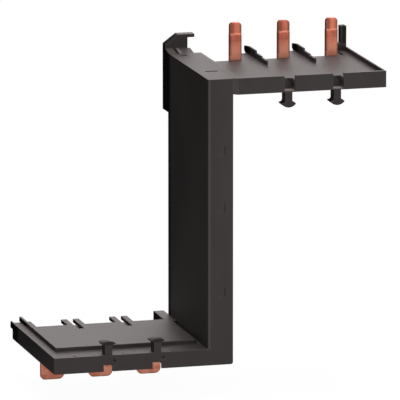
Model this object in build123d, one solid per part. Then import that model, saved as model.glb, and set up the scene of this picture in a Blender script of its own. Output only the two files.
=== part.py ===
from build123d import *
import os
from math import atan2, tan

# Comb busbar with two offset arms and three bent copper strips
# All sizes in millimetres. The limb stands along Z, the arms run along X, terminals are at the rear (+Y).
# Pieces are drawn with the limb's left face at X 0, front face at Y 0 and top face at Z 0.
# Both arms share one arm frame: s runs out from the limb, y back, t outwards past the arm's outer face.

# Overall sizes
pole_pitch = 17.5
pole_count = 3
limb_depth = 52.6
limb_height = 100.7
end_margin = 1.95          # from the middle of the last pair of tabs to the arm's free end

# Housing walls
side_wall = 1.0
front_wall = 1.2
rim_wall = 0.6
floor_recess = 1.6         # floor of a tray below its rim
floor_thickness = 1.0
lid_rise = 1.35            # how far the lid stands proud of the rim
lid_plate = 1.2
lid_gap = 0.1
ledge_front = 10.0         # rim ledge in front of the lid
ledge_side = 3.1
ledge_limb = 1.3
edge_round = 0.5
corner_round = 0.8
mark_radius = 0.35         # small moulding marks on the lower front ledge
mark_depth = 0.25
mark_row = 1.3
mark_offset = -5.7         # from the middle of a pair of tabs

# Comb at the rear edge of trays and lids
comb_edge = 41.4           # rear edge of a tray's floor between the tabs
lid_overlap = 3.6          # how far a lid reaches back past that edge, around the bent copper
first_pair = 18.05         # from the limb to the middle of the first pair of tabs
tab_length = 12.6
tab_width = 2.1
tab_gap = 2.2
slot_start = 3.4           # how far a lid's slot runs in front of the floor's edge
end_tab_width = 1.2
end_strip_width = 0.9
end_strip_length = 20.9
end_strip_height = 1.6

# Copper strips
strip_width = 8.3
strip_thickness = 2.0
limb_radius = 1.0
bend_cover = 0.15          # housing beside the bends between limb and arm
terminal_radius = 0.5
lane_margin = 3.2          # from the rear lane to the floor's rear edge
lane_gap = 1.2             # between neighbouring strips in an arm
strip_clearance = 0.2
sheet_thickness = 0.5
sheet_margin = 0.3
jog_margin = 14.0          # straight run above and below each jog
plan_round = 1.5

# Terminals
prong_width = 4.2
prong_gap = 0.1            # from a prong to the tab beside it
prong_reach = 11.7         # past the arm's outer face
prong_round = 1.3
tip_length = 4.1
tip_recess = 0.25
blade_gap = 0.85           # from a blade to the tab beside it
blade_margin = 2.0         # from a blade to the tab on its other side
blade_reach = 11.4
blade_outer_round = 1.3
blade_inner_round = 2.0

# Phase ribs
rib_thickness = 0.7
rib_setback = 1.2          # from the outer edge of a pair of tabs
rib_front = 12.2           # all rib distances along y are from the floor's rear edge
rib_steps = [(-5.4, 0.05), (1.9, 0.4), (10.6, 1.15)]
rib_overhang = 3.6         # how far the rib's rear end reaches past its tab
rib_end_top = 0.45
rib_end_bottom = -1.2

# T-hooks and the slots beside them
upper_hook_shift = 1.9     # from the middle of a pair of tabs to its hook
hook_depth = 4.4
hook_stem = 2.55
hook_head = 4.95
hook_shoulder = 3.9        # from the wall's edge to the head
upper_hook_drop = 5.4
lower_hook_drop = 4.9
hook_root = 0.5
hook_wing = 0.35
hook_round = 0.9
slot_run = 4.4
upper_slot_shift = 0.4     # from a hook to the middle of its slot
upper_slot_width = 3.9
upper_slot_left = 0.45     # wall left below the slot
lower_slot_shift = 0.15
lower_slot_width = 3.3
lower_slot_depth = 2.3
pocket_size = 0.95
pocket_depth = 0.8
pocket_shift = 2.1         # from a hook to the small pocket beside it
pocket_drop = 1.85         # from the rim to the middle of the pocket

# Collar between limb and upper arm
collar_width = 1.65
collar_recess = 0.3
collar_round = 1.2
collar_top = 2.5
collar_end = 1.6           # from the collar to the limb's rear face

# Rear fittings
ear_width = 2.1
ear_height = 7.3
ear_depth = 2.9
ear_setback = 0.6          # from the rear end of the side wall
shelf_width = 3.0
shelf_height = 1.15
top_overhang = 3.8
bracket_depth = 3.6
lower_wall_past = 6.7
lip_length = 3.0
lip_height = 2.3
root_tab_short = 1.0       # by how much the root tab ends before the rearmost face
flange_thickness = 3.4
flange_drop = 21.1
ramp_length = 4.9
ramp_height = 0.85
slit = 0.3
slit_run = 0.6
rear_block = 6.0
bracket_height = 5.75
bracket_width = 8.1
bracket_finger = 10.6
finger_height = 1.15
bracket_slope = (4.6, 3.4)
grooves = [(3.2, 7.7, 14.6, 1.5), (3.4, 5.3, 46.2, 1.1)]
groove_depth = 0.5

# Worked out from the sizes above
pairs = [first_pair + i * pole_pitch for i in range(pole_count)]
half_pair = tab_gap / 2 + tab_width
cutout_ends = [pair - half_pair for pair in pairs]
cutout_width = pole_pitch - 2 * half_pair
blade_width = cutout_width - blade_gap - blade_margin
prongs = [end - prong_gap - prong_width / 2 for end in cutout_ends]
blades = [end - blade_gap - blade_width / 2 for end in cutout_ends]
arm_length = pairs[-1] + end_margin
limb_width = 2 * side_wall + pole_count * strip_thickness + (pole_count - 1) * sheet_thickness
lid_end = arm_length - ledge_side
terminal_front = comb_edge + terminal_radius
copper_top = floor_recess + floor_thickness
copper_bottom = copper_top + strip_thickness
lid_seat = copper_bottom + strip_clearance
limb_bend = copper_bottom + limb_radius
arm_height = limb_bend + bend_cover
lane_step = strip_width + lane_gap
lanes = [comb_edge - lane_margin - strip_width - i * lane_step for i in range(pole_count)]
layers = [side_wall + i * (strip_thickness + sheet_thickness) for i in range(pole_count)]
lane_front = lanes[-1] - strip_clearance
lane_rear = comb_edge - lane_margin + strip_clearance
lid_face = arm_height + lid_rise
tab_end = comb_edge + tab_length
lid_edge = comb_edge + lid_overlap
slot_front = comb_edge - slot_start
top_reach = limb_depth + top_overhang
rear_reach = top_reach + bracket_depth
lower_wall_end = limb_depth + lower_wall_past
root_tab_reach = rear_reach - root_tab_short
lip_reach = lower_wall_end + lip_length
upper_wall_end = limb_depth - strip_clearance
ear_end = upper_wall_end - ear_setback
ear_front = ear_end - ear_depth


def block(x0, x1, y0, y1, z0, z1):
    size = (x1 - x0, y1 - y0, z1 - z0)
    return Pos((x0 + x1) / 2, (y0 + y1) / 2, (z0 + z1) / 2) * Box(*size)


def rect(x0, x1, y0, y1):
    return Pos((x0 + x1) / 2, (y0 + y1) / 2) * Rectangle(x1 - x0, y1 - y0)


def upper(shape):
    return Pos(limb_width, 0, 0) * shape


def lower(shape):
    return Pos(0, 0, -limb_height) * Rot(0, 180, 0) * shape


# Cutouts between the pairs of tabs, seen along t
def comb_cut(outline, edge):
    for end in cutout_ends:
        outline -= rect(end - cutout_width, end, edge, tab_end + 1)
    end_tab = pairs[-1] - half_pair + end_tab_width
    outline -= rect(end_tab, arm_length + 1, edge, tab_end + 1)
    return outline


# Outline of a lid, with a slot between the two tabs of each pair
def lid_outline(rear, edge):
    outline = comb_cut(rect(ledge_limb + lid_gap, lid_end - lid_gap, ledge_front + lid_gap, rear), edge)
    for pair in pairs[:-1]:
        outline -= rect(pair - tab_gap / 2, pair + tab_gap / 2, slot_front, tab_end + 1)
    return outline


# Room for one strip in an arm, seen along t, or the strip itself without clearance
def strip_plan(lane, pole, s_start, leg_width, grow=0.0):
    y0 = lanes[lane]
    s_end = pole + leg_width / 2 + grow
    run = rect(s_start, s_end, y0 - grow, y0 + strip_width + grow)
    leg = rect(pole - leg_width / 2 - grow, s_end, y0, comb_edge)
    return run + leg


# T-shaped hook beyond the edge of the front wall
def hook_solid(s_middle, drop):
    half_stem = hook_stem / 2
    half_head = hook_head / 2
    root = -arm_height + hook_root
    shoulder = -arm_height - hook_shoulder
    tip = -arm_height - drop
    wing = shoulder - hook_wing
    sides = Polyline((half_head, wing), (half_head, shoulder), (half_stem, shoulder), (half_stem, root),
                     (-half_stem, root), (-half_stem, shoulder), (-half_head, shoulder), (-half_head, wing))
    crescent = ThreePointArc((-half_head, wing), (0, tip), (half_head, wing))
    profile = make_face([sides, crescent])
    inner = [v for v in profile.vertices() if abs(v.Y - shoulder) < 0.01 and abs(v.X) < half_stem + 0.01]
    profile = fillet(inner, hook_round)
    profile = Plane.XZ * Pos(s_middle, 0) * profile
    return extrude(profile, amount=-hook_depth)


# Stepped rib that keeps neighbouring terminals apart
def rib_solid(s_left):
    y = comb_edge - rib_front
    points = [(y, -copper_top)]
    for step_end, height in rib_steps:
        points.append((y, height))
        y = comb_edge + step_end
        points.append((y, height))
    points.append((tab_end + rib_overhang, rib_end_top))
    points.append((tab_end + rib_overhang, rib_end_bottom))
    points.append((tab_end, -copper_top))
    profile = make_face(Polyline(*points, close=True))
    return extrude(Plane.YZ.offset(s_left) * profile, amount=rib_thickness)


# Tray of one arm, in the arm frame, without its hooks and slots
def tray_solid(wall_end, poles, leg_width, s_open):
    outline = comb_cut(rect(0, arm_length, 0, tab_end), comb_edge)
    body = extrude(Pos(0, 0, -lid_seat) * outline, lid_seat - floor_recess)
    body += block(0, arm_length, 0, ledge_front, -arm_height, -lid_seat)
    body += block(lid_end, arm_length, 0, wall_end, -arm_height, -floor_recess)
    body += block(0, arm_length, 0, front_wall, -arm_height, 0)
    body += block(arm_length - rim_wall, arm_length, 0, wall_end, -arm_height, 0)
    for pair in pairs[:-1]:
        body += rib_solid(pair + half_pair - rib_setback)
    for i, pole in enumerate(poles):
        plan = strip_plan(i, pole, s_open, leg_width, strip_clearance)
        body -= extrude(Pos(0, 0, -lid_seat) * plan, lid_seat - copper_top)
    return body


# Lid of one arm, in the arm frame
def lid_solid(poles):
    s_start = ledge_limb + lid_gap
    s_end = lid_end - lid_gap
    outline = lid_outline(tab_end, lid_edge) - rect(0, cutout_ends[0], lid_edge, tab_end + 1)
    lid = extrude(Pos(0, 0, -lid_face) * outline, lid_plate)
    lid += extrude(Pos(0, 0, -lid_face) * lid_outline(lid_edge, comb_edge - lid_gap), lid_face - lid_seat)
    strip = rect(s_end - end_strip_width, s_end, comb_edge, comb_edge + end_strip_length)
    lid += extrude(Pos(0, 0, -lid_face) * strip, end_strip_height)
    inner_top = -lid_face + lid_plate
    hollow = rect(s_start + side_wall, s_end - side_wall, ledge_front + side_wall, comb_edge - 2 * side_wall)
    for pair in pairs[:-1]:
        hollow -= rect(pair - tab_gap / 2 - side_wall, pair + tab_gap / 2 + side_wall,
                       slot_front - side_wall, comb_edge)
    lid -= extrude(Pos(0, 0, inner_top) * hollow, lid_face)
    lid -= block(0, cutout_ends[0] - cutout_width + lid_gap, comb_edge - lid_gap, tab_end + 1, -lid_face - 1, 0)
    pad = strip_width / 4
    for i, pole in enumerate(poles):
        lane_middle = lanes[i] + strip_width / 2
        for s_middle in (poles[0] - pad, pole - pad):
            lid += block(s_middle - pad, s_middle + pad, lane_middle - pad, lane_middle + pad,
                         inner_top - lid_gap, -copper_bottom)
    return lid


# Quarter ring that joins two flat runs of a strip, its flat faces at +y and at -x
def bend_face(radius):
    reach = radius + strip_thickness
    return (Circle(reach) - Circle(radius)) & rect(-reach, 0, 0, reach)


# Flat and bent part of a strip inside one arm, in the arm frame
def arm_run(lane, pole, leg_width, face_gap):
    s_start = limb_radius - face_gap
    plan = strip_plan(lane, pole, s_start, leg_width)
    outer = [v for v in plan.vertices() if abs(v.X - pole - leg_width / 2) < 0.01 and abs(v.Y - lanes[lane]) < 0.01]
    plan = fillet(outer, plan_round)
    flat = extrude(Pos(0, 0, -copper_bottom) * plan, strip_thickness)
    limb_turn = Plane.XZ * (Pos(s_start, -limb_bend) * bend_face(limb_radius))
    limb_turn = Pos(0, lanes[lane], 0) * extrude(limb_turn, amount=-strip_width)
    turn = Plane.YZ * (Pos(comb_edge, -copper_top + terminal_radius) * Rot(0, 0, 180) * bend_face(terminal_radius))
    turn = Pos(pole - leg_width / 2, 0, 0) * extrude(turn, amount=leg_width)
    return flat + limb_turn + turn


def prong_solid(pole):
    half = prong_width / 2
    tip_foot = prong_reach - tip_length
    face = rect(pole - half, pole + half, -copper_top + terminal_radius, prong_reach)
    top = [v for v in face.vertices() if v.Y > 0]
    face = fillet(top, prong_round)
    prong = extrude(Plane.XZ.offset(-terminal_front) * face, amount=-strip_thickness)
    rear_face = terminal_front + strip_thickness
    for y0, y1 in ((terminal_front - 1, terminal_front + tip_recess), (rear_face - tip_recess, rear_face + 1)):
        prong -= block(pole - prong_width, pole + prong_width, y0, y1, tip_foot, prong_reach + 1)
    return prong


def blade_solid(pole):
    half = blade_width / 2
    face = rect(pole - half, pole + half, -copper_top + terminal_radius, blade_reach)
    outer = [v for v in face.vertices() if v.Y > 0 and v.X > pole]
    face = fillet(outer, blade_outer_round)
    inner = [v for v in face.vertices() if v.Y > blade_reach - 0.01 and v.X < pole]
    face = fillet(inner, blade_inner_round)
    return extrude(Plane.XZ.offset(-terminal_front) * face, amount=-strip_thickness)


# Flat run of a strip down the limb, with its slanting jog from one lane to another
def limb_run(lane_top, lane_bottom, layer):
    z_top = -limb_bend
    z_bottom = -limb_height + limb_bend
    y_top = lanes[lane_top] + strip_width / 2
    y_bottom = lanes[lane_bottom] + strip_width / 2
    jog_top = z_top - jog_margin
    jog_bottom = z_bottom + jog_margin
    turn = atan2(y_bottom - y_top, jog_top - jog_bottom)
    half = strip_width / 2
    mitre = half * tan(turn / 2)
    points = [(y_top - half, z_top), (y_top + half, z_top), (y_top + half, jog_top + mitre),
              (y_bottom + half, jog_bottom + mitre), (y_bottom + half, z_bottom),
              (y_bottom - half, z_bottom), (y_bottom - half, jog_bottom - mitre),
              (y_top - half, jog_top - mitre)]
    if lane_top == lane_bottom:
        points = [points[0], points[1], points[4], points[5]]
    profile = make_face(Polyline(*points, close=True))
    return extrude(Plane.YZ.offset(layers[layer]) * profile, amount=strip_thickness)


# One whole copper strip from its prong to its blade
def busbar_solid(lane_top, lane_bottom, layer):
    upper_gap = limb_width - layers[layer] - strip_thickness
    lower_gap = layers[layer]
    prong = prongs[lane_top]
    blade = blades[lane_bottom]
    top = arm_run(lane_top, prong, prong_width, upper_gap) + prong_solid(prong)
    bottom = arm_run(lane_bottom, blade, blade_width, lower_gap) + blade_solid(blade)
    return upper(top) + limb_run(lane_top, lane_bottom, layer) + lower(bottom)


# Insulating sheet between two layers of strips
def separator_solid(index):
    x0 = layers[index] + strip_thickness
    top = -limb_bend - sheet_margin
    return block(x0, x0 + sheet_thickness, lane_front, lane_rear, -limb_height - top, top)


# Limb and lower tray in one moulding
def main_housing_solid():
    limb = block(0, limb_width, 0, limb_depth, -limb_height, 0)
    corner = limb.edges().filter_by(Axis.Z).sort_by(Axis.Y)[:2].sort_by(Axis.X)[:1]
    limb = fillet(corner, edge_round)
    limb = fillet(limb.edges().filter_by(Axis.Y).sort_by(Axis.Z)[:2].sort_by(Axis.X)[-1:], corner_round)
    limb -= block(-1, limb_width - side_wall, front_wall, limb_depth - side_wall, -limb_height + copper_top, 1)
    inner = limb_width - side_wall
    rib_depth = side_wall + strip_clearance
    for y0 in (lane_front - rib_depth, lane_rear + strip_clearance):
        limb += block(side_wall, inner, y0, y0 + side_wall, -limb_height + copper_top, -floor_recess)
    limb -= block(-1, side_wall, front_wall, limb_depth + 1, -limb_height + arm_height, 1)
    limb -= block(0, limb_width + 1, front_wall, limb_depth + 1, -floor_recess, 1)
    limb -= block(inner - 1, limb_width + 1, lane_front, lane_rear, -limb_bend - lid_gap, 1)
    limb += block(limb_width, limb_width + ledge_limb, ledge_front + lid_gap, comb_edge - lid_gap,
                  -arm_height, -lid_seat)
    tray = tray_solid(lower_wall_end, blades, blade_width, -limb_width)
    tray += block(0, edge_round, 0, front_wall, -arm_height, 0)
    tray += block(-edge_round, 0, 0, front_wall, -arm_height, 0)
    tray += block(arm_length - rim_wall, arm_length, lower_wall_end, lip_reach, -arm_height, -arm_height + lip_height)
    tray += block(0, cutout_ends[0] - cutout_width, comb_edge, root_tab_reach, -lid_face, -floor_recess)
    for pair in pairs[:-1]:
        tray += hook_solid(pair, lower_hook_drop)
        slot = pair + lower_slot_shift
        tray -= block(slot - lower_slot_width / 2, slot + lower_slot_width / 2, -1, slot_run, -lower_slot_depth, 1)
        pocket = pair - pocket_shift
        middle = -arm_height + pocket_drop
        tray -= block(pocket - pocket_size / 2, pocket + pocket_size / 2, -1, pocket_depth,
                      middle - pocket_size / 2, middle + pocket_size / 2)
    for pair in pairs:
        tray -= Pos(pair + mark_offset, mark_row, -arm_height) * Cylinder(mark_radius, 2 * mark_depth)
    return limb + lower(tray)


# Left and top walls of the limb with the rear flange and hanging bracket
def limb_cover_solid():
    foot = -limb_height + arm_height
    foot_front = ledge_front + lid_gap
    foot_rear = comb_edge - lid_gap
    cover = block(0, side_wall, front_wall, limb_depth, foot, 0)
    cover += block(-ledge_limb, side_wall / 2, foot_front, foot_rear, -limb_height + lid_seat, foot)
    cover += block(0, side_wall, foot_front, foot_rear, -limb_height + limb_bend, foot)
    cover += block(0, limb_width, front_wall, top_reach, -floor_recess, 0)
    cover += block(0, flange_thickness, limb_depth, rear_reach, -flange_drop, 0)
    cover += block(flange_thickness, limb_width, limb_depth, top_reach, -rear_block, 0)
    ramp = Polyline((top_reach - ramp_length, 0), (top_reach, ramp_height), (top_reach, 0), close=True)
    cover += extrude(Plane.YZ * make_face(ramp), amount=limb_width)
    cover -= block(flange_thickness, flange_thickness + slit, limb_depth - slit_run, top_reach, -rear_block - 1, 1)
    plate = Polyline((0, -floor_recess), (0, bracket_height - bracket_slope[1]), (bracket_slope[0], bracket_height),
                     (bracket_finger, bracket_height), (bracket_finger, bracket_height - finger_height),
                     (bracket_width, bracket_height - finger_height), (bracket_width, -floor_recess), close=True)
    cover += extrude(Plane.XZ.offset(-top_reach) * make_face(plate), amount=-bracket_depth)
    for x0, x1, y0, width in grooves:
        cover -= block(x0, x1, y0, y0 + width, -groove_depth, 1)
    return cover


# Tray of the upper arm with its collar and rear ear
def upper_tray_solid():
    tray = tray_solid(upper_wall_end, prongs, prong_width, -1)
    collar_rear = limb_depth - collar_end
    face = rect(0, collar_width, -arm_height, 0)
    foot = face.vertices().sort_by(Axis.Y)[:2].sort_by(Axis.X)[:1]
    face = fillet(foot, collar_round)
    tray -= block(-1, collar_width, -1, front_wall, -arm_height - 1, 1)
    tray += extrude(Plane.XZ.offset(-collar_recess) * face, amount=collar_recess - collar_rear)
    tray += block(0, collar_top, collar_recess, collar_rear, -floor_recess, 0)
    tray -= block(-1, ledge_limb + 1, lane_front, lane_rear, -arm_height - 1, -copper_top)
    tray -= block(-1, collar_width + lid_gap, ledge_front, comb_edge, -arm_height - 1, -lid_seat)
    tray += block(arm_length - shelf_width, arm_length, ear_front, ear_end, -lid_seat, shelf_height)
    tray += block(arm_length - ear_width, arm_length, ear_front, ear_end, -lid_seat, ear_height)
    for pair in pairs[:-1]:
        hook = pair + upper_hook_shift
        tray += hook_solid(hook, upper_hook_drop)
        slot = hook + upper_slot_shift
        tray -= block(slot - upper_slot_width / 2, slot + upper_slot_width / 2, -1, slot_run,
                      -arm_height + upper_slot_left, 1)
    return tray


os.makedirs("parts", exist_ok=True)

middle_x = limb_width / 2
middle_y = lip_reach / 2
middle_z = (prong_reach - limb_height - blade_reach) / 2
to_centre = Pos(-middle_x, -middle_y, -middle_z)

nodes = {
    "main_housing": main_housing_solid(),
    "limb_cover": limb_cover_solid(),
    "upper_arm_tray": upper(upper_tray_solid()),
    "upper_arm_lid": upper(lid_solid(prongs)),
    "lower_arm_lid": lower(lid_solid(blades)),
    "left_phase_busbar": busbar_solid(0, 2, 2),
    "middle_phase_busbar": busbar_solid(1, 1, 1),
    "right_phase_busbar": busbar_solid(2, 0, 0),
    "left_separator_sheet": separator_solid(0),
    "right_separator_sheet": separator_solid(1),
}
for name, shape in nodes.items():
    export_step(to_centre * shape, "parts/" + name + ".step")
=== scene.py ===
from math import cos, radians, sin
import bmesh
import bpy
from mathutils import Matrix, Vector


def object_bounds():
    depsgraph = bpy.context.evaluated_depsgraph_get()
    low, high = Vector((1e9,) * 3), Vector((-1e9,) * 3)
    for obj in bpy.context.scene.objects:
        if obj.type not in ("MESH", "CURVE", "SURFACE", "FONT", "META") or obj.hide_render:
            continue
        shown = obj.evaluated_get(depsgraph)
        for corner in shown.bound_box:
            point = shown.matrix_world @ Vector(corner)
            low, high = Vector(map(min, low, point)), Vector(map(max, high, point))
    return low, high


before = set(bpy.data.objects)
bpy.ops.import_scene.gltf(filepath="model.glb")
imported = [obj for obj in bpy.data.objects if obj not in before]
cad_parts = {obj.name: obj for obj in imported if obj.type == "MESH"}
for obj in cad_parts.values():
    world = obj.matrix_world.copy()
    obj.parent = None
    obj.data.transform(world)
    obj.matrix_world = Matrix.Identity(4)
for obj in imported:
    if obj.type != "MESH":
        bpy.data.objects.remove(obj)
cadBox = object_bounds()
print("frame loaded,", len(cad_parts), "solids")

# The shapes are the CAD's own. This script gives them their finishes, the light and the camera.
# Lengths are in metres. A band is its middle, its half width and the width over which it fades out.


class Wire:
    # a shader socket that can stand in plain sums
    def __init__(self, finish, socket):
        self.finish = finish
        self.socket = socket

    def maths(self, operation, first, second=0.0):
        return self.finish.add("ShaderNodeMath", {"operation": operation}, {0: first, 1: second})

    def __add__(self, other):
        return self.maths("ADD", self, other)

    def __radd__(self, other):
        return self.maths("ADD", other, self)

    def __sub__(self, other):
        return self.maths("SUBTRACT", self, other)

    def __rsub__(self, other):
        return self.maths("SUBTRACT", other, self)

    def __mul__(self, other):
        return self.maths("MULTIPLY", self, other)

    def __rmul__(self, other):
        return self.maths("MULTIPLY", other, self)

    def __gt__(self, other):
        return self.maths("GREATER_THAN", self, other)

    def __lt__(self, other):
        return self.maths("LESS_THAN", self, other)

    def most(self, other):
        return self.maths("MAXIMUM", self, other)

    def ramp(self, low, high):
        # 0 below low, 1 above high, smooth between
        return self.finish.add("ShaderNodeMapRange", {"interpolation_type": "SMOOTHSTEP"},
                               {"Value": self, "From Min": low, "From Max": high})

    def away(self, centre, pitch=0.0):
        # distance from a centre, or from the nearest of a row of centres a pitch apart
        if pitch:
            return self.maths("PINGPONG", self - centre, pitch / 2)
        return self.maths("ABSOLUTE", self - centre)

    def near(self, centre, half, fade, pitch=0.0):
        # 1 within half of the centre, falling to 0 over the fade
        return 1.0 - self.away(centre, pitch).ramp(half, half + fade)


class Finish:
    # a node tree under construction: a material's or the world's
    def __init__(self, owner):
        owner.use_nodes = True
        self.owner = owner
        self.tree = owner.node_tree
        self.tree.nodes.clear()

    def add(self, kind, settings=None, sockets=None, out=0):
        node = self.tree.nodes.new(kind)
        for key, value in (settings or {}).items():
            setattr(node, key, value)
        for key, value in (sockets or {}).items():
            if isinstance(value, Wire):
                self.tree.links.new(value.socket, node.inputs[key])
            else:
                node.inputs[key].default_value = value
        return Wire(self, node.outputs[out] if node.outputs else None)

    def blendColour(self, amount, first, second):
        settings = {"data_type": "RGBA", "clamp_factor": True}
        return self.add("ShaderNodeMix", settings, {0: amount, 6: first, 7: second}, out=2)

    def noise(self, look):
        # a noise by its scale, its detail, its roughness and how it is stretched along X, Y and Z
        scale, detail, rough, stretch = look
        sockets = {
            "Vector": self.place(stretch), "Scale": scale, "Detail": detail, "Roughness": rough}
        return self.add("ShaderNodeTexNoise", {"noise_dimensions": "3D"}, sockets)

    def place(self, stretch=(1.0, 1.0, 1.0)):
        # Object coordinates, stretched along X, Y and Z
        sockets = {"Vector": self.add("ShaderNodeTexCoord", out="Object"), "Scale": stretch}
        return self.add("ShaderNodeMapping", {"vector_type": "POINT"}, sockets)

    def axis(self, vector, index):
        return self.add("ShaderNodeSeparateXYZ", None, {0: vector}, out=index)

    def roundedEdges(self, radius, slight=0.01, full=0.22):
        # the normal of softly rounded edges, and a mask that is 0 on flat faces and 1 on the edges
        rounded = self.add("ShaderNodeBevel", {"samples": 6}, {"Radius": radius})
        both = {0: rounded, 1: self.add("ShaderNodeNewGeometry", out="True Normal")}
        match = self.add("ShaderNodeVectorMath", {"operation": "DOT_PRODUCT"}, both, out="Value")
        return rounded, (1.0 - match).ramp(slight, full)


def colour(red, green, blue):
    # screen values 0 to 255 as linear light
    def linear(value):
        value = value / 255
        return value / 12.92 if value <= 0.04045 else ((value + 0.055) / 1.055) ** 2.4
    return (linear(red), linear(green), linear(blue), 1.0)


def grey(level):
    return (level, level, level, 1.0)


# camera

cameraLook = {
    "azimuth": -15.391,
    "elevation": 11.573,
    "distance": 2.6669,
    "target": (0.000878, -0.00115, 0.001849),
    "lens": 687.6,
    "sensorWidth": 36.0,
    "clip": (0.05, 60.0),
}


def makeCamera(look):
    data = bpy.data.cameras.new("photoCamera")
    data.lens = look["lens"]
    data.sensor_width = look["sensorWidth"]
    data.clip_start, data.clip_end = look["clip"]
    camera = bpy.data.objects.new("photoCamera", data)
    bpy.context.scene.collection.objects.link(camera)
    turn = radians(look["azimuth"])
    rise = radians(look["elevation"])
    back = Vector((sin(turn) * cos(rise), -cos(turn) * cos(rise), sin(rise)))
    camera.location = Vector(look["target"]) + back * look["distance"]
    camera.rotation_mode = "QUATERNION"
    camera.rotation_quaternion = back.to_track_quat("Z", "Y")
    bpy.context.scene.camera = camera


makeCamera(cameraLook)
print("camera placed")

# places on the busbar that the finishes below go by

busbarPlaces = {
    "polePitch": 0.0175,
    "frontPlane": -0.03115,
    "plateTop": 0.0502,        # top of the limb and of the upper arm's rims
    "lowerLedge": -0.0447,     # top of the lower arm's front ledge
    "limbLeft": -0.0045,
    "collarMiddle": 0.00535,
    "notchFloor": 0.0449,      # floor and rear wall of the notches above the upper hooks
    "notchRear": -0.0268,
}

# black housing plastic

plasticLook = {
    "body": colour(43, 39, 39),
    "pale": colour(56, 51, 51),
    "paleFrom": (0.35, 0.7),       # share of the moulding's flow that is pale
    # pale colour for rubbed edges and for painted highlights and painted light
    "wearAndHighlight": colour(112, 105, 103),
    "markDark": grey(0.001),
    "shadeDark": grey(0.002),
    "shadeStrength": 0.85,
    "edgeRadius": 0.00035,
    "edgeWearAndHighlight": 0.75,
    "edgeWearAndHighlightLostOnTop": 0.6,
    "roughness": 0.52,
    "flowRoughness": 0.08,
    "edgePolish": 0.08,
    "gloss": 0.38,
    "glossTint": (1.0, 0.905, 0.9, 1.0),
    "refraction": 1.5,
    "grain": (5200.0, 2.0, 0.5, (1.0, 1.0, 1.0)),
    "grainStrength": 0.6,
    "grainDepth": 0.000012,
    "flow": (38.0, 4.0, 0.6, (1.0, 0.6, 0.35)),
    "leftFacing": (0.4, 0.65),     # how far a face has to turn to count as facing that way
    "frontFacing": (0.5, 0.8),
    "upFacing": (0.5, 0.8),
    "frontSkin": 0.001,            # how far behind the front plane a face is still the front
    "topSkin": 0.0008,
    "rearShade": (0.0168, 0.0212),  # depths between which the walls that face left turn dark
}


class Skin:
    # where a point of the plastic lies, and which way its face looks
    def __init__(self, finish, look):
        place = finish.place()
        normal = finish.add("ShaderNodeNewGeometry", out="True Normal")
        self.across, self.depth, self.height = (finish.axis(place, index) for index in range(3))
        right, rear, up = (finish.axis(normal, index) for index in range(3))
        onFront = self.depth < busbarPlaces["frontPlane"] + look["frontSkin"]
        onTop = self.height > busbarPlaces["plateTop"] - look["topSkin"]
        self.facesLeft = (right * -1.0).ramp(*look["leftFacing"])
        self.facesFront = (rear * -1.0).ramp(*look["frontFacing"]) * onFront
        self.level = up.ramp(*look["upFacing"])
        self.facesTop = self.level * onTop


# on the front: a paler collar with a painted highlight line along each side, and a painted
# highlight on the limb's left corner

frontHighlightLook = {
    "collar": (0.00075, 0.0001),       # half width and fade
    "collarPaleness": 0.16,
    "line": (0.00012, 0.00016),
    "lineHighlight": 0.45,
    "corner": (0.0001, 0.0013),
    "cornerHighlight": 0.4,
}


def frontHighlights(skin, look):
    middle = busbarPlaces["collarMiddle"]
    collar = skin.across.near(middle, *look["collar"])
    lines = skin.across.away(middle).near(look["collar"][0], *look["line"])
    corner = skin.across.near(busbarPlaces["limbLeft"], *look["corner"])
    corner = corner * (skin.height > busbarPlaces["lowerLedge"])
    # paler collar band, plus painted highlights on its edges and on the limb's left corner
    frontPaleAndHighlight = collar * look["collarPaleness"] + lines * look["lineHighlight"] + corner * look["cornerHighlight"]
    return skin.facesFront * frontPaleAndHighlight


# three faint upright marks on the limb's front, each with a pale patch beside its foot

frontMarks = {
    "heights": (0.0252, 0.0050, -0.0249),
    "high": (0.0013, 0.0005),
    "across": (0.00156, 0.0001, 0.0004),
    "strength": 0.9,
    "patchDrop": 0.0016,
    "patchHigh": (0.0002, 0.0008),
    "patchAcross": (-0.00024, 0.0005, 0.0008),
    "patchPaleness": 0.07,
}


def limbMarks(skin, look):
    marks = sum(skin.height.near(height, *look["high"]) for height in look["heights"])
    return skin.facesFront * skin.across.near(*look["across"]) * marks * look["strength"]


def limbPatches(skin, look):
    heights = [height - look["patchDrop"] for height in look["heights"]]
    patches = sum(skin.height.near(height, *look["patchHigh"]) for height in heights)
    return skin.facesFront * skin.across.near(*look["patchAcross"]) * patches * look["patchPaleness"]


# painted shadow round the dimples along the lower arm's front ledge

ledgeDimples = {
    "across": (-0.01685, 0.0003, 0.0004),
    "depth": (-0.0294, 0.0003, 0.0005),
    "high": (0.0001, 0.0003),
    "shade": 0.7,
}


def dimpleShade(skin, look):
    row = skin.across.near(*look["across"], busbarPlaces["polePitch"])
    row = row * (skin.across < busbarPlaces["limbLeft"])
    onLedge = skin.height.near(busbarPlaces["lowerLedge"], *look["high"])
    return row * (skin.depth.near(*look["depth"]) * onLedge) * look["shade"]


# T-hooks: painted shade makes the lower arm's heads and the upper arm's stems a little darker than
# the front

hookLook = {
    "besideLimb": 0.002,
    "headLow": 0.0035,             # above the lower ledge
    "headHigh": 0.0065,
    "headDepth": 0.0022,
    "headShade": 0.45,
    "stemDrop": 0.0005,            # below the notch floor
    "stemShade": 0.2,
}


def hookShade(skin, look):
    ledge = busbarPlaces["lowerLedge"]
    head = skin.across < busbarPlaces["limbLeft"] - look["besideLimb"]
    head = head * (skin.height > ledge + look["headLow"])
    head = head * (skin.height < ledge + look["headHigh"])
    head = head * (skin.depth < busbarPlaces["frontPlane"] + look["headDepth"])
    stem = (skin.across > busbarPlaces["collarMiddle"]) * (skin.depth < busbarPlaces["notchRear"])
    stem = stem * (skin.height < busbarPlaces["notchFloor"] - look["stemDrop"])
    return (head * look["headShade"]).most(stem * look["stemShade"])


# notches above the upper hooks: painted light on the floor and walls, and a dark line slanting down
# the rear wall

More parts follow.
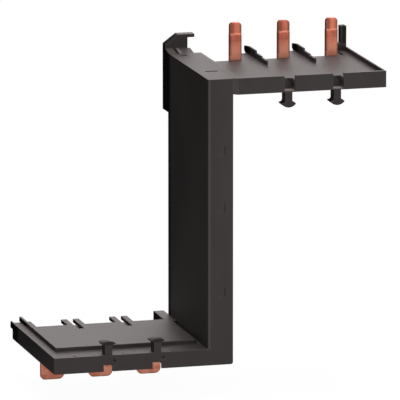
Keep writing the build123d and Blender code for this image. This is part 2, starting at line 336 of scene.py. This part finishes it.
notchLook = {
    "besideCollar": 0.002,
    "end": 0.0545,
    "floorHigh": (0.0002, 0.0002),
    "floorLight": 0.88,
    "aboveFloor": 0.0002,
    "behindFront": 0.0004,
    "rearSkin": 0.0003,
    "wallLight": 0.2,
    "sideLight": 0.3,               # more on the walls that face left
    "slope": 0.64,
    "slant": (0.0566, 0.0002, 0.0006),
    "slantShade": 0.5,
}


def notchFloors(skin, look):
    onFloor = skin.height.near(busbarPlaces["notchFloor"], *look["floorHigh"])
    return skin.level * onFloor * (skin.depth < busbarPlaces["notchRear"]) * look["floorLight"]


def notchWalls(skin, look):
    walls = skin.across > busbarPlaces["collarMiddle"] + look["besideCollar"]
    walls = walls * (skin.across < look["end"])
    walls = walls * (skin.height > busbarPlaces["notchFloor"] + look["aboveFloor"])
    walls = walls * (1.0 - skin.level)
    walls = walls * (skin.depth > busbarPlaces["frontPlane"] + look["behindFront"])
    return walls * (skin.depth < busbarPlaces["notchRear"] + look["rearSkin"])


def slantLines(skin, look):
    slanted = skin.across + skin.height * look["slope"]
    return slanted.near(*look["slant"], busbarPlaces["polePitch"]) * look["slantShade"]


# painted shadow of a slot on the limb's top towards the bracket, with a painted highlight on a
# ridge beside it

topSlot = {
    "along": (0.0240, 0.0042, 0.0006),
    "slot": (-0.0013, 0.0003, 0.0003),
    "slotShade": 0.85,
    "ridge": (-0.0002, 0.0003, 0.0003),
    "ridgeHighlight": 0.7,
}


def topBand(skin, look, name):
    return skin.facesTop * skin.depth.near(*look["along"]) * skin.across.near(*look[name])


# ear at the upper arm's end, in shade and darkest along its left side

earLook = {
    "start": 0.0575,
    "aboveRim": 0.0012,
    "darkSide": (0.0590, 0.0008, 0.0005),
    "darkShade": 0.65,
    "plainShade": 0.1,
}


def earShade(skin, look):
    ear = (skin.across > look["start"]) * (skin.depth > 0.0)
    ear = ear * (skin.height > busbarPlaces["plateTop"] + look["aboveRim"])
    return ear * (skin.across.near(*look["darkSide"]) * look["darkShade"] + look["plainShade"])


# end wall of the lower arm, in shade

endWallLook = {
    "start": -0.0570,
    "aboveLedge": 0.001,
    "shade": 0.5,
}


def endWallShade(skin, look):
    wall = skin.across < look["start"]
    wall = wall * (skin.height < busbarPlaces["lowerLedge"] + look["aboveLedge"])
    return skin.facesLeft * wall * look["shade"]


def makePlastic(look):
    finish = Finish(bpy.data.materials.new("housingPlastic"))
    skin = Skin(finish, look)
    rounded, edge = finish.roundedEdges(look["edgeRadius"])
    flow = finish.noise(look["flow"])
    grain = finish.noise(look["grain"])
    walls = notchWalls(skin, notchLook)

    # painted shade: where this mask rises, a black matte shader is mixed into the plastic
    shade = skin.facesLeft * skin.depth.ramp(*look["rearShade"])
    shade = shade.most(endWallShade(skin, endWallLook))
    shade = shade.most(hookShade(skin, hookLook))
    shade = shade.most(walls * slantLines(skin, notchLook))
    shade = shade.most(earShade(skin, earLook))
    shade = shade.most(topBand(skin, topSlot, "slot") * topSlot["slotShade"])
    shade = shade.most(dimpleShade(skin, ledgeDimples))

    # painted highlights and painted light on the front, the ridge and the notches, with the paler
    # collar and patches
    wearAndHighlight = frontHighlights(skin, frontHighlightLook) + limbPatches(skin, frontMarks)
    wearAndHighlight = wearAndHighlight + topBand(skin, topSlot, "ridge") * topSlot["ridgeHighlight"]
    wearAndHighlight = wearAndHighlight + notchFloors(skin, notchLook)
    wearAndHighlight = wearAndHighlight + walls * (skin.facesLeft * notchLook["sideLight"] + notchLook["wallLight"])

    body = finish.blendColour(flow.ramp(*look["paleFrom"]), look["body"], look["pale"])
    # rounded edges lightened: partly rubbed pale, partly painted highlight
    edgeWearAndHighlight = edge * (look["edgeWearAndHighlight"] - skin.facesTop * look["edgeWearAndHighlightLostOnTop"])
    body = finish.blendColour(edgeWearAndHighlight, body, look["wearAndHighlight"])
    body = finish.blendColour(wearAndHighlight, body, look["wearAndHighlight"])
    body = finish.blendColour(limbMarks(skin, frontMarks), body, look["markDark"])
    rough = look["roughness"] + flow * look["flowRoughness"] - edge * look["edgePolish"]
    bump = finish.add("ShaderNodeBump", None, {
        "Strength": look["grainStrength"], "Distance": look["grainDepth"],
        "Height": grain, "Normal": rounded})
    surface = finish.add("ShaderNodeBsdfPrincipled", None, {
        "Base Color": body, "Roughness": rough, "Normal": bump, "IOR": look["refraction"],
        "Specular IOR Level": look["gloss"], "Specular Tint": look["glossTint"]})
    dark = finish.add("ShaderNodeBsdfDiffuse", None, {"Color": look["shadeDark"]})
    factor = shade * look["shadeStrength"]
    both = finish.add("ShaderNodeMixShader", None, {0: factor, 1: surface, 2: dark})
    finish.add("ShaderNodeOutputMaterial", None, {"Surface": both})
    return finish.owner


# bare copper strips: punching streaks; painted shade, highlights and reflection on the prongs;
# painted light on the blades

copperLook = {
    "bright": colour(231, 132, 103),
    "dull": colour(182, 95, 71),
    "edge": colour(246, 166, 138),
    "copperShade": colour(122, 58, 42),
    "reflectedPlate": colour(250, 172, 142),
    "edgeRadius": 0.0008,
    "edgeLight": 0.12,
    "roughness": 0.34,
    "patchRoughness": 0.14,
    "edgePolish": 0.06,
    "metallic": 0.6,
    "streak": (2600.0, 3.0, 0.6, (1.0, 1.0, 0.04)),
    "streakFrom": (0.4, 0.75),
    "streakDull": 0.3,
    "streakStrength": 0.35,
    "streakDepth": 0.00001,
    "patch": (190.0, 4.0, 0.65, (1.0, 1.0, 1.0)),
    "patchFrom": (0.42, 0.68),
    "patchDull": 0.55,
}

prongLook = {
    "middle": 0.0172,
    "bandLow": (0.0542, 0.0548),       # the darker band below a tip fades in here
    "bandHigh": (0.0574, 0.0578),      # and out again here
    "bandDull": 0.4,
    "sides": (0.0012, 0.0021),         # where painted shade darkens a prong, measured out from its middle
    "sideShade": 0.5,
    "tip": (0.0577, 0.0580),
    "crownShift": 0.0004,
    "crown": (0.0003, 0.0017),
    "crownEdge": 0.8,
    "crownShade": 0.75,
    "foot": (0.0006, 0.0046),
    "footReflection": 0.7,
    "step": (0.0579, 0.0001, 0.0003),  # painted highlight lines above and below the band
    "stepLight": 0.6,
    "fold": (0.0548, 0.0001, 0.0002),
    "foldLight": 0.3,
}

bladeLook = {
    "top": 0.0,                        # only the blades show below this height
    "dullLost": 0.5,
    "sheen": (420.0, 1.0, 0.5, (1.0, 1.0, 1.6)),
    "sheenFrom": (0.46, 0.6),
    "sheenLight": 0.75,
    "edgeLight": 0.7,
    "plainLight": 0.12,
}


def makeCopper(look, prong, blade):
    finish = Finish(bpy.data.materials.new("bareCopper"))
    place = finish.place()
    across = finish.axis(place, 0)
    height = finish.axis(place, 2)
    rounded, edge = finish.roundedEdges(look["edgeRadius"])
    streak = finish.noise(look["streak"])
    patch = finish.noise(look["patch"])
    pitch = busbarPlaces["polePitch"]
    plateTop = busbarPlaces["plateTop"]

    band = height.ramp(*prong["bandLow"]) * (1.0 - height.ramp(*prong["bandHigh"]))
    # painted shade on each prong's sides and on the rim and sides of its rounded tip
    sides = across.away(prong["middle"], pitch).ramp(*prong["sides"]) * (height > plateTop)
    crown = across.away(prong["middle"] + prong["crownShift"], pitch).ramp(*prong["crown"])
    crown = crown.most(edge * prong["crownEdge"]) * height.ramp(*prong["tip"])
    copperShade = (crown * prong["crownShade"]).most(sides * prong["sideShade"])
    # painted reflection of the plate on each prong's foot
    foot = height.near(plateTop, *prong["foot"]) * prong["footReflection"]
    step = height.near(*prong["step"]) * prong["stepLight"]
    fold = height.near(*prong["fold"]) * prong["foldLight"]

    onBlade = height < blade["top"]
    sheen = finish.noise(blade["sheen"]).ramp(*blade["sheenFrom"]) * onBlade
    # painted highlights on rounded edges, and painted light and sheen on the blades
    light = edge * (onBlade * blade["edgeLight"] + look["edgeLight"])
    light = light + sheen * blade["sheenLight"] + onBlade * blade["plainLight"]

    dull = patch.ramp(*look["patchFrom"]) * look["patchDull"]
    dull = dull + streak.ramp(*look["streakFrom"]) * look["streakDull"]
    dull = (dull + band * prong["bandDull"]) * (1.0 - onBlade * blade["dullLost"])
    body = finish.blendColour(dull, look["bright"], look["dull"])
    body = finish.blendColour(light, body, look["edge"])
    body = finish.blendColour(foot, body, look["reflectedPlate"])
    body = finish.blendColour(step.most(fold), body, look["edge"])
    body = finish.blendColour(copperShade, body, look["copperShade"])
    rough = look["roughness"] + patch * look["patchRoughness"] - edge * look["edgePolish"]
    bump = finish.add("ShaderNodeBump", None, {
        "Strength": look["streakStrength"], "Distance": look["streakDepth"],
        "Height": streak, "Normal": rounded})
    surface = finish.add("ShaderNodeBsdfPrincipled", None, {
        "Base Color": body, "Metallic": look["metallic"], "Roughness": rough, "Normal": bump})
    finish.add("ShaderNodeOutputMaterial", None, {"Surface": surface})
    return finish.owner


# insulating board between the strips

boardLook = {
    "body": colour(214, 206, 186),
    "fleck": colour(186, 172, 144),
    "fleckFrom": (0.45, 0.7),
    "fleckStrength": 0.7,
    "fibre": (900.0, 4.0, 0.6, (1.0, 1.0, 0.25)),
    "fibreStrength": 0.4,
    "fibreDepth": 0.00002,
    "roughness": 0.8,
}


def makeBoard(look):
    finish = Finish(bpy.data.materials.new("pressedBoard"))
    fibre = finish.noise(look["fibre"])
    fleck = fibre.ramp(*look["fleckFrom"]) * look["fleckStrength"]
    body = finish.blendColour(fleck, look["body"], look["fleck"])
    bump = finish.add("ShaderNodeBump", None, {
        "Strength": look["fibreStrength"], "Distance": look["fibreDepth"], "Height": fibre})
    surface = finish.add("ShaderNodeBsdfPrincipled", None, {
        "Base Color": body, "Roughness": look["roughness"], "Normal": bump})
    finish.add("ShaderNodeOutputMaterial", None, {"Surface": surface})
    return finish.owner


# a solid's finish goes by the end of its name, and all other solids are housing plastic

finishByEnding = {
    "busbar": makeCopper(copperLook, prongLook, bladeLook),
    "sheet": makeBoard(boardLook),
    "": makePlastic(plasticLook),
}
for name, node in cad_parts.items():
    chosen = next(finishByEnding[ending] for ending in finishByEnding if name.endswith(ending))
    for slot in node.material_slots:
        slot.material = chosen
print("finishes made")

# studio: the camera sees plain white, and round the object it is dark at the left rear
# and bright at the right front

studioLook = {
    "turn": (0.75, -0.66),             # from the dark side to the bright side, across the floor
    "floorDark": grey(0.02),
    "floorBright": grey(0.36),
    "floorTurn": (-0.12, 0.12),        # where the floor turns from dark to bright
    "floorSize": 8.0,
    "floorPale": grey(0.95),
    "shownWhite": 0.975,               # share of plain white in the floor that the camera sees
    "skyDark": (0.05, 0.05, 0.055, 1.0),
    "skyBright": grey(0.38),
    "skyTurn": (-0.6, 0.5),
    "white": grey(1.0),
}

lampLooks = {
    "frontSoftbox": {
        "spot": (0.2, -1.7, 0.0), "size": (1.8, 0.3), "power": 4.3, "tint": (1.0, 0.965, 0.95)},
    "rearSoftbox": {
        "spot": (0.8, 1.7, 0.6), "size": (1.7, 1.3), "power": 17.0, "tint": (1.0, 0.965, 0.95)},
    "leftSoftbox": {
        "spot": (-1.65, -1.0, 0.3), "size": (1.2, 0.9), "power": 7.0, "tint": (0.97, 0.93, 1.0)},
    "topSoftbox": {
        "spot": (0.08, 0.15, 1.9), "size": (1.2, 1.2), "power": 44.5, "tint": (1.0, 0.955, 0.938)},
}


def brightSide(finish, place, look, turn):
    # 0 on the dark side of the studio, 1 on the bright side
    forward = finish.axis(place, 0) * look["turn"][0] + finish.axis(place, 1) * look["turn"][1]
    return forward.ramp(*turn)


def showsBackground(finish, bright):
    # 1 for the camera, and for gloss and glass that look to the bright side
    camera, gloss, glass = (finish.add("ShaderNodeLightPath", out=ray) for ray in (
        "Is Camera Ray", "Is Glossy Ray", "Is Transmission Ray"))
    return camera + (gloss + glass) * bright


def makeFloor(look, lowest):
    work = bmesh.new()
    bmesh.ops.create_grid(work, x_segments=2, y_segments=2, size=look["floorSize"] / 2)
    bmesh.ops.translate(work, verts=work.verts, vec=(0.0, 0.0, lowest))
    mesh = bpy.data.meshes.new("paleFloor")
    work.to_mesh(mesh)
    work.free()
    floor = bpy.data.objects.new("paleFloor", mesh)
    bpy.context.scene.collection.objects.link(floor)
    finish = Finish(bpy.data.materials.new("paleFloor"))
    bright = brightSide(finish, finish.place(), look, look["floorTurn"])
    seen = showsBackground(finish, bright)
    unseen = finish.blendColour(bright, look["floorDark"], look["floorBright"])
    shade = finish.blendColour(seen, unseen, look["floorPale"])
    matte = finish.add("ShaderNodeBsdfPrincipled", None, {
        "Base Color": shade, "Roughness": 1.0, "Specular IOR Level": 0.0})
    white = finish.add("ShaderNodeEmission", None, {"Color": look["white"], "Strength": 1.0})
    factor = seen * look["shownWhite"]
    both = finish.add("ShaderNodeMixShader", None, {0: factor, 1: matte, 2: white})
    finish.add("ShaderNodeOutputMaterial", None, {"Surface": both})
    mesh.materials.append(finish.owner)


def makeLamp(name, look):
    data = bpy.data.lights.new(name, "AREA")
    data.shape = "RECTANGLE"
    data.size, data.size_y = look["size"]
    data.energy = look["power"]
    data.color = look["tint"]
    lamp = bpy.data.objects.new(name, data)
    lamp.location = look["spot"]
    lamp.rotation_mode = "QUATERNION"
    lamp.rotation_quaternion = Vector(look["spot"]).to_track_quat("Z", "Y")
    lamp.visible_camera = False
    bpy.context.scene.collection.objects.link(lamp)


def makeSky(look):
    world = bpy.data.worlds.new("studio")
    bpy.context.scene.world = world
    finish = Finish(world)
    place = finish.add("ShaderNodeTexCoord", out="Generated")
    bright = brightSide(finish, place, look, look["skyTurn"])
    soft = finish.blendColour(bright, look["skyDark"], look["skyBright"])
    sky = finish.blendColour(showsBackground(finish, bright), soft, look["white"])
    light = finish.add("ShaderNodeBackground", None, {"Color": sky, "Strength": 1.0})
    finish.add("ShaderNodeOutputWorld", None, {"Surface": light})


makeFloor(studioLook, cadBox[0].z)
for name, look in lampLooks.items():
    makeLamp(name, look)
makeSky(studioLook)
bpy.context.scene.view_settings.view_transform = "Standard"
print("studio lit")
